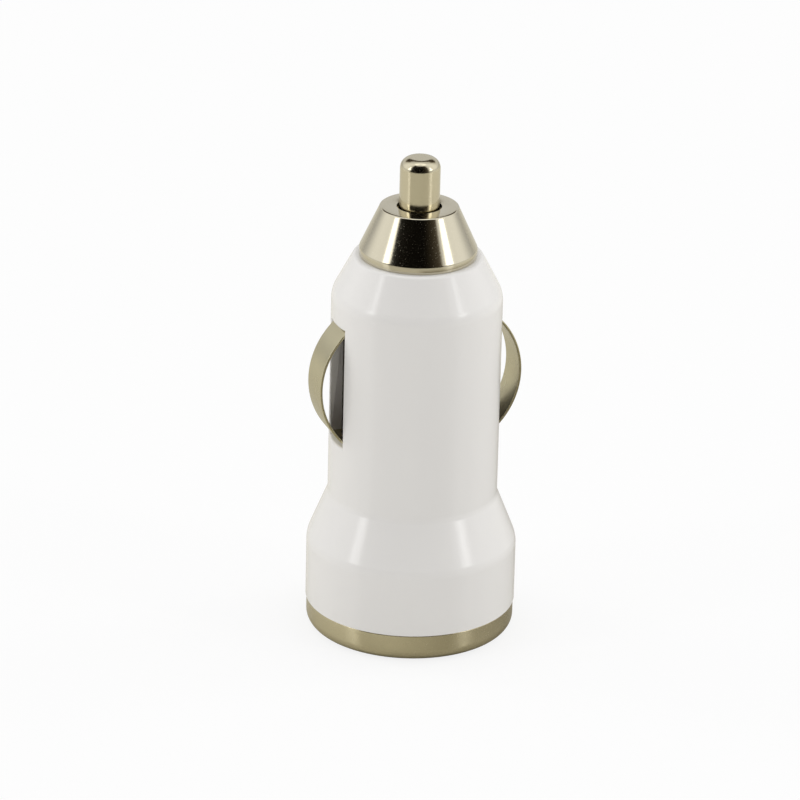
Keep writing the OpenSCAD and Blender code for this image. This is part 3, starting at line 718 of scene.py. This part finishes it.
def capacitor(name, side, node):
    """One capacitor with its leads, side 1 to the right of the middle and -1 to the left."""
    can = turned(name, [
        (1.75, CAN_FOOT), (1.93, CAN_FOOT + 0.06), (CAN_R, CAN_FOOT + 0.22), (CAN_R, GROOVE_Z - 0.4),
        (1.93, GROOVE_Z - 0.3), (1.78, GROOVE_Z - 0.1), (1.78, GROOVE_Z + 0.1), (1.93, GROOVE_Z + 0.3),
        (CAN_R, GROOVE_Z + 0.4), (CAN_R, CAN_TOP - 0.2), (1.93, CAN_TOP - 0.05), (1.8, CAN_TOP),
        (1.6, CAN_TOP), (1.5, CAN_TOP - 0.15),
    ], steps=64, closed=False)
    shift(can, side * CAN_X, CAN_Y)
    join(can, *(bent_lead(f"{name}_lead_{end}", side * CAN_X + end * LEAD_X, CAN_Y, CAN_TOP - 0.4, BEND_Z)
                for end in (-1, 1)))
    finish_mesh(can, angle=40)
    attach(can, "housing")
    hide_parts(node)
    return can


cans = [
    capacitor("Input_capacitor", 1, "input_capacitor"),
    capacitor("Output_capacitor", -1, "output_capacitor"),
]
print("capacitors:", len(cans[0].data.polygons), "faces each")

# %% [markdown]
# ## Lamp
#
# The lamp is a small clear moulding with a rounded end behind the face plate. Its two leads
# bend over to the board in the same way as the capacitors' do.

# %% Lamp
LAMP_R, LAMP_Y, LAMP_Z, LAMP_TOP, LAMP_BEND_Z = 1.0, 5.4, 0.5, 4.7, 16.05
lamp = turned("Indicator_lamp", [(LAMP_R, LAMP_Z), (LAMP_R, LAMP_TOP)], steps=48, closed=False)
round_ring(lamp, LAMP_R, LAMP_Z, LAMP_R / 2, 8)
round_ring(lamp, LAMP_R, LAMP_TOP, 0.08, 2)
shift(lamp, 0, LAMP_Y)
lamp_leads = bent_lead("Lamp_leads", -LAMP_R / 2, LAMP_Y, LAMP_TOP, LAMP_BEND_Z)
join(lamp_leads, bent_lead("Lamp_lead_2", LAMP_R / 2, LAMP_Y, LAMP_TOP, LAMP_BEND_Z))
for piece, node, slot in ((lamp, "indicator_lamp", "lamp_clear"), (lamp_leads, "lamp_leads", "tinned_wire")):
    finish_mesh(piece, angle=45)
    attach(piece, "housing")
    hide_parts(node)
print("lamp:", 2 * LAMP_R, "mm across")

# %% [markdown]
# ## Moulded plastics
#
# The shell is ABS moulded in a polished tool: white all through, a little glossy, with a
# very slight waviness that breaks up its reflections. The face plate is the same plastic
# from a tool with a fine eroded texture. The socket's tongue is a stiff black plastic that
# takes the heat of soldering, and the chips are moulded in black epoxy full of fine glass.
# One function gives every surface its fine grain and the soft changes in tone and gloss
# that handling leaves.

# %% Plastics
def grained(name, code, roughness, grain, depth, stretch=(1, 1, 1), metallic=0.0, **sockets):
    """A finish with fine grain, grain mm wide and depth mm deep, and soft changes in tone and gloss."""
    made, tree, shader, place = material(name, code, roughness, metallic, **sockets)
    drawn = add(tree, "Mapping", {"Vector": place, "Scale": stretch}).outputs["Vector"]
    fine = add(tree, "TexNoise", {"Vector": drawn, "Scale": 1 / (grain * MM), "Detail": 3.0})
    bump = add(tree, "Bump", {"Height": fine.outputs["Fac"], "Strength": 0.4, "Distance": depth * MM})
    tree.links.new(bump.outputs["Normal"], shader.inputs["Normal"])
    broad = add(tree, "TexNoise", {"Vector": place, "Scale": 1 / (3 * MM), "Detail": 2.0})
    spread = {"Value": broad.outputs["Fac"], "From Min": 0.3, "From Max": 0.7}
    gloss = add(tree, "MapRange", {**spread, "To Min": 0.85 * roughness, "To Max": 1.2 * roughness})
    tree.links.new(gloss.outputs["Result"], shader.inputs["Roughness"])
    darker = tuple(0.88 * c for c in colour(code)[:3]) + (1,)
    tone = add(tree, "MixRGB", {"Fac": broad.outputs["Fac"], "Color1": darker, "Color2": colour(code)})
    tree.links.new(tone.outputs["Color"], shader.inputs["Base Color"])
    return made


# White and a little glossy: soft even shade, faint upright highlights and slight waves.
white, tree, shader, place = material("White moulded ABS", "#EFEDEA", 0.13, IOR=1.5)
waves = add(tree, "TexNoise", {"Vector": place, "Scale": 1 / (6 * MM), "Detail": 2.0})
bump = add(tree, "Bump", {"Height": waves.outputs["Fac"], "Strength": 0.12, "Distance": 0.05 * MM})
tree.links.new(bump.outputs["Normal"], shader.inputs["Normal"])
# Satin white with a fine even texture, so that it shows no mirror image.
satin = grained("White satin ABS", "#EEECE8", 0.42, 0.15, 0.02, IOR=1.5)
# Deep black with a slight sheen and no texture to speak of.
tongue_black = grained("Black PBT", "#1E1F21", 0.35, 0.2, 0.01, IOR=1.57)
# Dull black with the fine sandy grain of filled resin.
epoxy = grained("Filled black epoxy", "#232427", 0.5, 0.08, 0.015, IOR=1.55)
# Deep blue film, glossy and slightly uneven where it shrank on the can.
sleeve = grained("Printed shrink sleeve", "#1D2A44", 0.28, 0.6, 0.02, IOR=1.53)
stripe = grained("Sleeve print", "#C9CED6", 0.4, 0.3, 0.01, IOR=1.5)
# A clear, faintly milky drop that brightens at its edge.
clear = grained("Diffused clear epoxy", "#F4F6F2", 0.18, 0.4, 0.01, IOR=1.53, Transmission_Weight=0.85)
print("plastics made")

# %% [markdown]
# ## Plated and plain metals
#
# Nickel is a warm bright metal. The nose and the pin are turned, so their finest lines run
# round them, and the plating has a few tiny pits, which are dull and so show as light specks
# in the dark reflection. Real pits are finer than the picture can show, so they are drawn
# about 0.12 mm wide. The ring has the same plating on a softer base. The clips are spring
# steel with a thin nickel flash that looks more yellow, and its lines run along the strip
# as it was rolled.

# %% Metals
PIT = 0.12


def nickel(name, code, roughness, line, pitted):
    """Nickel over turned metal: lines round the Z axis, line mm apart, and pits of this roughness."""
    made, tree, shader, place = material(name, code, roughness, metallic=1.0)
    drawn = add(tree, "Mapping", {"Vector": place, "Scale": (0.02, 0.02, 1)}).outputs["Vector"]
    lines = add(tree, "TexNoise", {"Vector": drawn, "Scale": 1 / (line * MM), "Detail": 3.0})
    bump = add(tree, "Bump", {"Height": lines.outputs["Fac"], "Strength": 0.25, "Distance": 0.006 * MM})
    tree.links.new(bump.outputs["Normal"], shader.inputs["Normal"])
    specks = add(tree, "TexNoise", {"Vector": place, "Scale": 1 / (PIT * MM), "Detail": 1.0})
    pits = add(tree, "MapRange", {"Value": specks.outputs["Fac"], "From Min": 0.66, "From Max": 0.76,
                                  "To Min": roughness, "To Max": pitted})
    tree.links.new(pits.outputs["Result"], shader.inputs["Roughness"])
    return made


nose_nickel = nickel("Nickel plate on turned brass", "#CEC7B2", 0.12, 0.4, pitted=0.36)
pin_nickel = nickel("Nickel plate on a turned pin", "#CFC7AE", 0.15, 0.4, pitted=0.3)
ring_nickel = nickel("Nickel plate on a rolled ring", "#D2C9AB", 0.2, 0.5, pitted=0.35)
# Smooth olive metal, soft enough that it shows broad tones and no images.
clip_steel = grained(
    "Nickel flash on spring steel", "#CCC4A4", 0.24, 0.3, 0.004, stretch=(1, 1, 0.03), metallic=1.0
)
# Grey drawn wire with a dull shine along it.
spring_steel = grained("Zinc plated spring wire", "#B4B3AC", 0.32, 0.1, 0.004, metallic=1.0)
# Yellow, with the soft marks of the stamping press.
brass = grained("Stamped brass", "#CFAE68", 0.3, 0.4, 0.01, metallic=1.0)
# Cool pale sheet, shinier than the wire, with faint rolling lines.
sheet_steel = grained(
    "Nickel plated steel sheet", "#CFCDC6", 0.24, 0.25, 0.006, stretch=(0.05, 1, 1), metallic=1.0
)
# Rich yellow and smooth, from a thin flash over bronze.
gold = grained("Gold flash on phosphor bronze", "#E6BE6A", 0.2, 0.2, 0.004, metallic=1.0)
# Whitish and slightly rippled, as tin cools.
tin = grained("Tinned copper", "#CFCFCB", 0.34, 0.25, 0.012, metallic=1.0)
# Bright drawn can, with its lines along the draw.
aluminium = grained("Drawn aluminium", "#DADBDC", 0.3, 0.12, 0.005, stretch=(1, 1, 0.05), metallic=1.0)
# Red-brown and glossy: copper under a coat of clear enamel.
copper = grained(
    "Enamelled copper wire", "#B5643C", 0.25, 0.2, 0.006, metallic=1.0, Coat_Weight=1.0, Coat_Roughness=0.1
)
print("metals made")

# %% [markdown]
# ## Board and ceramics
#
# The board is the cheap brown laminate of resin and paper. Its back carries the copper
# tracks under a green mask, which show as slightly lighter shapes with dark gaps between
# them. Ferrite and the capacitors' ceramic are fired powders, dull and faintly grainy.

# %% Board and ceramics
# Warm brown with short fibres across it.
laminate = grained("Phenolic paper laminate", "#7A5433", 0.5, 0.25, 0.01, stretch=(0.25, 1, 1), IOR=1.55)
# Charcoal grey and dull, like fired clay.
ferrite = grained("Fired ferrite", "#3C3C3E", 0.55, 0.12, 0.02, IOR=1.8)
# Tan and matt on the sides.
titanate = grained("Fired titanate ceramic", "#B39A78", 0.4, 0.1, 0.01, IOR=1.7)
# Black glass over the resistor's film, with a clean shine.
glass = grained("Black overglaze", "#1B1B1D", 0.22, 0.3, 0.006, IOR=1.52)
# Areas of copper about 4 mm wide, with straight cut borders, under a glossy green coat.
mask, tree, shader, place = material("Green mask over copper", "#1F5B3B", 0.3, IOR=1.5)
nearest, second = [
    add(tree, "TexVoronoi", {"Vector": place, "Scale": 1 / (4 * MM)}, distance="CHEBYCHEV",
        feature=feature).outputs["Distance"]
    for feature in ("F1", "F2")
]
border = add(tree, "Math", {0: second, 1: nearest}, operation="SUBTRACT").outputs[0]
area = add(tree, "MapRange", {"Value": border, "From Min": 0.05, "From Max": 0.08}).outputs[0]
tracks = add(tree, "MixRGB", {"Fac": area, "Color1": colour("#17472F"), "Color2": colour("#2A7450")})
tree.links.new(tracks.outputs["Color"], shader.inputs["Base Color"])
step = add(tree, "Bump", {"Height": area, "Strength": 0.5, "Distance": 0.035 * MM})
tree.links.new(step.outputs["Normal"], shader.inputs["Normal"])
print("board and ceramics made")

# %% [markdown]
# ## Each piece gets its finish
#
# Most pieces have one finish. Where a piece has two, the faces of the second one are picked
# by their place: the chips' legs, the parts' tinned ends, the cans' sleeves and the solder
# side of the board.

# %% Dress the pieces
def dress(piece, finish, *others):
    """Give the piece its finish, and another to the faces whose middle, in mm, passes its test."""
    piece.data.materials.clear()
    piece.data.materials.append(finish)
    for face in piece.data.polygons:
        face.material_index = 0
    for index, (other, test) in enumerate(others, 1):
        piece.data.materials.append(other)
        for face in piece.data.polygons:
            if test(face.center / MM, face.normal):
                face.material_index = index


CHIP_HALF_W, DIODE_HALF_L, BOARD_BACK = 1.95, 2.15, -4.0
for piece, finish in (
    (shell, white), (ring, ring_nickel), (nose, nose_nickel), (pin, pin_nickel), (plate, satin),
    (clips["Left_clip"], clip_steel), (clips["Right_clip"], clip_steel), (spring, spring_steel),
    (terminal, brass), (socket, sheet_steel), (tongue, tongue_black), (core, ferrite), (winding, copper),
    (lamp, clear), (lamp_leads, tin), *((contact, gold) for contact in contacts),
):
    dress(piece, finish)
dress(board, laminate, (mask, lambda at, facing: facing.y < -0.9 and at.y < BOARD_BACK + NEAR))
dress(chip, epoxy, (tin, lambda at, facing: abs(at.x) > CHIP_HALF_W + NEAR))
dress(diode, epoxy, (tin, lambda at, facing: abs(at.x) > DIODE_HALF_L + NEAR))
dress(resistors, glass, (tin, lambda at, facing: abs(abs(at.x) - RESISTOR_X) > RESISTOR_HALF - END_CAP))
dress(ceramics, titanate, (tin, lambda at, facing: abs(at.z - CERAMIC_Z) > CERAMIC_HALF - END_CAP))


def on_sleeve(at):
    """True for a place, in mm, on the outer wall of either can."""
    return math.hypot(abs(at.x) - CAN_X, at.y - CAN_Y) > CAN_R - 0.15 and CAN_FOOT < at.z < CAN_TOP - 0.1


for can in cans:
    dress(can, tin, (aluminium, lambda at, facing: at.z < CAN_TOP + NEAR),
          (sleeve, lambda at, facing: on_sleeve(at)),
          (stripe, lambda at, facing: on_sleeve(at) and at.z < GROOVE_Z - 0.3 and abs(at.x) - CAN_X > 1.75))
left_plain = [name for name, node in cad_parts.items() if not node.hide_render]
print("nodes left as plain solids:", left_plain or "none")

# %% [markdown]
# ## Floor
#
# The plug stands on a glossy white sheet. The lens sees it as plain white, with a little
# plain shade so that a shadow still shows. The shell gets its soft light from below off it.
# Metal sees it as a warm sheet with painted shade in its colour: darker close to the plug,
# more so on the right, and lighter from a hand's width on. That painted shade gives the ring,
# the clips and the pin their olive tone. Far ahead its colour is painted dark, as if the sheet ended there.

# %% Floor
bpy.ops.object.select_all(action="DESELECT")
bpy.ops.mesh.primitive_plane_add(size=6, location=(0, 0, 0))
floor = bpy.context.object
floor.name = "Floor"
acrylic = bpy.data.materials.new("Glossy acrylic sheet")
acrylic.use_nodes = True
tree = acrylic.node_tree
place = add(tree, "TexCoord").outputs["Object"]
forward = Vector((math.sin(camera_turn), -math.cos(camera_turn), 0))
sideways = Vector((math.cos(camera_turn), math.sin(camera_turn), 0))
reach = {
    "right": add(tree, "VectorMath", {0: place, 1: sideways}, operation="DOT_PRODUCT"),
    "around": add(tree, "VectorMath", {0: place}, operation="LENGTH"),
    "ahead": add(tree, "VectorMath", {0: place, 1: forward}, operation="DOT_PRODUCT"),
}
# Each change of painted shade in the colour that metal sees: along what, from and to how many mm, and the
# colour beyond.
tone = colour("#D8D4C5")
for along, start, stop, code in (
    ("right", -4, 24, "#837C68"), ("around", 80, 140, "#E5E1D2"), ("ahead", 300, 420, "#15130E")
):
    span = {"Value": reach[along].outputs["Value"], "From Min": start * MM, "From Max": stop * MM}
    painted_shade_mix = add(tree, "MapRange", span).outputs[0]
    tone = add(tree, "MixRGB", {"Fac": painted_shade_mix, "Color1": tone, "Color2": colour(code)}).outputs[0]
in_metal = tree.nodes["Principled BSDF"]
# The painted shade becomes the sheet's colour for gloss only.
tree.links.new(tone, in_metal.inputs["Base Color"])
in_metal.inputs["Roughness"].default_value = 0.12
fill = add(tree, "BsdfDiffuse", {"Color": colour("#EBEAE8")})
shade = add(tree, "BsdfDiffuse", {"Color": colour("#6E6E6E")})
glow = add(tree, "Emission", {"Color": colour("#FFFFFF"), "Strength": 0.83})
seen = add(tree, "AddShader", {0: shade.outputs[0], 1: glow.outputs[0]})
ray = add(tree, "LightPath").outputs
unseen = add(tree, "MixShader", {0: ray["Is Glossy Ray"], 1: fill.outputs[0], 2: in_metal.outputs[0]})
mixed = add(tree, "MixShader", {0: ray["Is Camera Ray"], 1: unseen.outputs[0], 2: seen.outputs[0]})
tree.links.new(mixed.outputs[0], tree.nodes["Material Output"].inputs["Surface"])
floor.data.materials.append(acrylic)
print("floor:", [round(side, 1) for side in floor.dimensions[:2]], "m")

# %% [markdown]
# ## Room
#
# The room is brightest at the sides, dim behind the camera and lit again overhead. Gloss
# also sees two dark brown panels in it. The tall one behind the camera draws the dark band
# on the nose and the dark spot on the pin's tip, and it gets lighter to the right. The wide
# one behind the plug draws the thin dark line around the flat of the tip. Each shape is a
# set of soft edges. An edge runs along one direction, and edges that are multiplied
# together cut out their common area.

# %% Room
world = bpy.data.worlds.new("Studio")
bpy.context.scene.world = world
world.use_nodes = True
tree = world.node_tree
direction = add(tree, "TexCoord").outputs["Generated"]
turned_view = add(tree, "Mapping", {"Vector": direction, "Rotation": (0, 0, -camera_turn)})
sight = add(tree, "SeparateXYZ", {"Vector": turned_view.outputs["Vector"]}).outputs
to_camera = add(tree, "Math", {0: sight["Y"], 1: -1.0}, operation="MULTIPLY")
azimuth = add(tree, "Math", {0: sight["X"], 1: to_camera.outputs[0]}, operation="ARCTAN2").outputs[0]
off_axis = add(tree, "Math", {0: azimuth}, operation="ABSOLUTE").outputs[0]
elevation = add(tree, "Math", {0: sight["Z"]}, operation="ARCSINE").outputs[0]
# Each edge: what it runs along, from and to which angle in degrees, and the values there.
shapes = {
    "walls": ((off_axis, 0, 95, 0.33, 1.12), (off_axis, 100, 142, 1, 0.66), (elevation, 0, 12, 0.7, 1)),
    "ceiling": ((elevation, 66, 76, 0, 0.6),),
    "front": ((azimuth, -62, -56, 0, 1), (azimuth, 47, 52, 1, 0), (elevation, -3, 0, 0, 1),
              (elevation, 62, 70, 1, 0), (azimuth, 10, 52, 0.99, 0.86)),
    "rear": ((off_axis, 122, 145, 0, 0.9), (elevation, 25, 30, 0, 1), (elevation, 46, 54, 1, 0)),
}
levels = {}
for name, edges in shapes.items():
    levels[name] = 1.0
    for along, start, stop, first, last in edges:
        span = {"Value": along, "From Min": math.radians(start), "From Max": math.radians(stop)}
        values = {"To Min": first, "To Max": last}
        edge = add(tree, "MapRange", {**span, **values}, interpolation_type="SMOOTHSTEP").outputs["Result"]
        levels[name] = add(tree, "Math", {0: levels[name], 1: edge}, operation="MULTIPLY").outputs[0]
path = add(tree, "LightPath").outputs
panels = add(tree, "Math", {0: levels["front"], 1: levels["rear"]}, operation="ADD")
in_gloss = add(tree, "Math", {0: panels.outputs[0], 1: path["Is Glossy Ray"]}, operation="MULTIPLY")
kept = add(tree, "Math", {0: 1.0, 1: in_gloss.outputs[0]}, operation="SUBTRACT")
lit = add(tree, "Math", {0: levels["walls"], 1: levels["ceiling"]}, operation="ADD")
around = add(tree, "Math", {0: lit.outputs[0], 1: kept.outputs[0]}, operation="MULTIPLY").outputs[0]
strength = add(tree, "MapRange", {"Value": path["Is Camera Ray"], "To Min": around, "To Max": 1.0})
colours = {"Color1": colour("#FFFFFF"), "Color2": colour("#DCC39A")}
tint = add(tree, "MixRGB", {"Fac": in_gloss.outputs[0], **colours})
background = tree.nodes["Background"]
tree.links.new(tint.outputs["Color"], background.inputs["Color"])
tree.links.new(strength.outputs["Result"], background.inputs["Strength"])
print("room made of", len(tree.nodes), "nodes")

# %% [markdown]
# ## Softboxes
#
# Two upright softboxes in front, one on each side, draw the white stripes on the nose and
# the pin and the faint upright ones on the shell. Each is brighter along its middle, as its
# tube shines through the cloth, so plastic shows a narrow stripe and metal a wide one with
# soft edges. A dimmer top reaches higher up and lights the stripes on the shoulder. Two
# more stand a little behind the plug and light the outer edges of the shell. They are kept
# out of all reflections, because the photo shows no stripes of theirs.

# %% Softboxes
SOFTBOX_AWAY = 0.9  # in metres


def softbox(name, bearing, foot, top, width, radiance, mirrored):
    """An upright lamp that faces the plug, from one elevation to another, in degrees."""
    away = math.radians(CAMERA_AZIMUTH + bearing)
    middle = math.radians((foot + top) / 2)
    light = bpy.data.lights.new(name, "AREA")
    light.shape = "RECTANGLE"
    light.size = 2 * SOFTBOX_AWAY * math.tan(math.radians(width) / 2)
    light.size_y = 2 * SOFTBOX_AWAY * math.tan(math.radians(top - foot) / 2)
    light.energy = radiance * math.pi * light.size * light.size_y
    made = bpy.data.objects.new(name, light)
    bpy.context.scene.collection.objects.link(made)
    back = Vector((math.sin(away) * math.cos(middle), -math.cos(away) * math.cos(middle), math.sin(middle)))
    made.location = AIM + back * SOFTBOX_AWAY
    made.rotation_euler = back.to_track_quat("Z", "Y").to_euler()
    made.visible_camera, made.visible_glossy = False, mirrored


# The bearing from the camera's, the foot, the top and the width in degrees, then the radiance
# and whether gloss mirrors the lamp.
for name, *lamp_settings in (
    ("Left", -64, 10, 24.5, 15, 1.5, True), ("Left middle", -64, 10.5, 24, 6, 5.9, True),
    ("Left top", -64, 24.5, 38, 6, 1.9, True), ("Right", 65, 10, 24.5, 15, 1.6, True),
    ("Right middle", 65, 10.5, 24, 5.5, 6.6, True), ("Right top", 65, 24.5, 38, 5.5, 2.3, True),
    ("Left rear", -114, 24, 36, 12, 4.6, False), ("Right rear", 114, 24, 36, 12, 5.2, False),
):
    softbox(name + " softbox", *lamp_settings)
print("softboxes:", len(bpy.data.lights))

# %% [markdown]
# ## Finish
#
# The view transform is the plain one, so the colours come out as they are written.

# %% Finish
bpy.context.scene.view_settings.view_transform = "Standard"
bpy.context.view_layer.update()
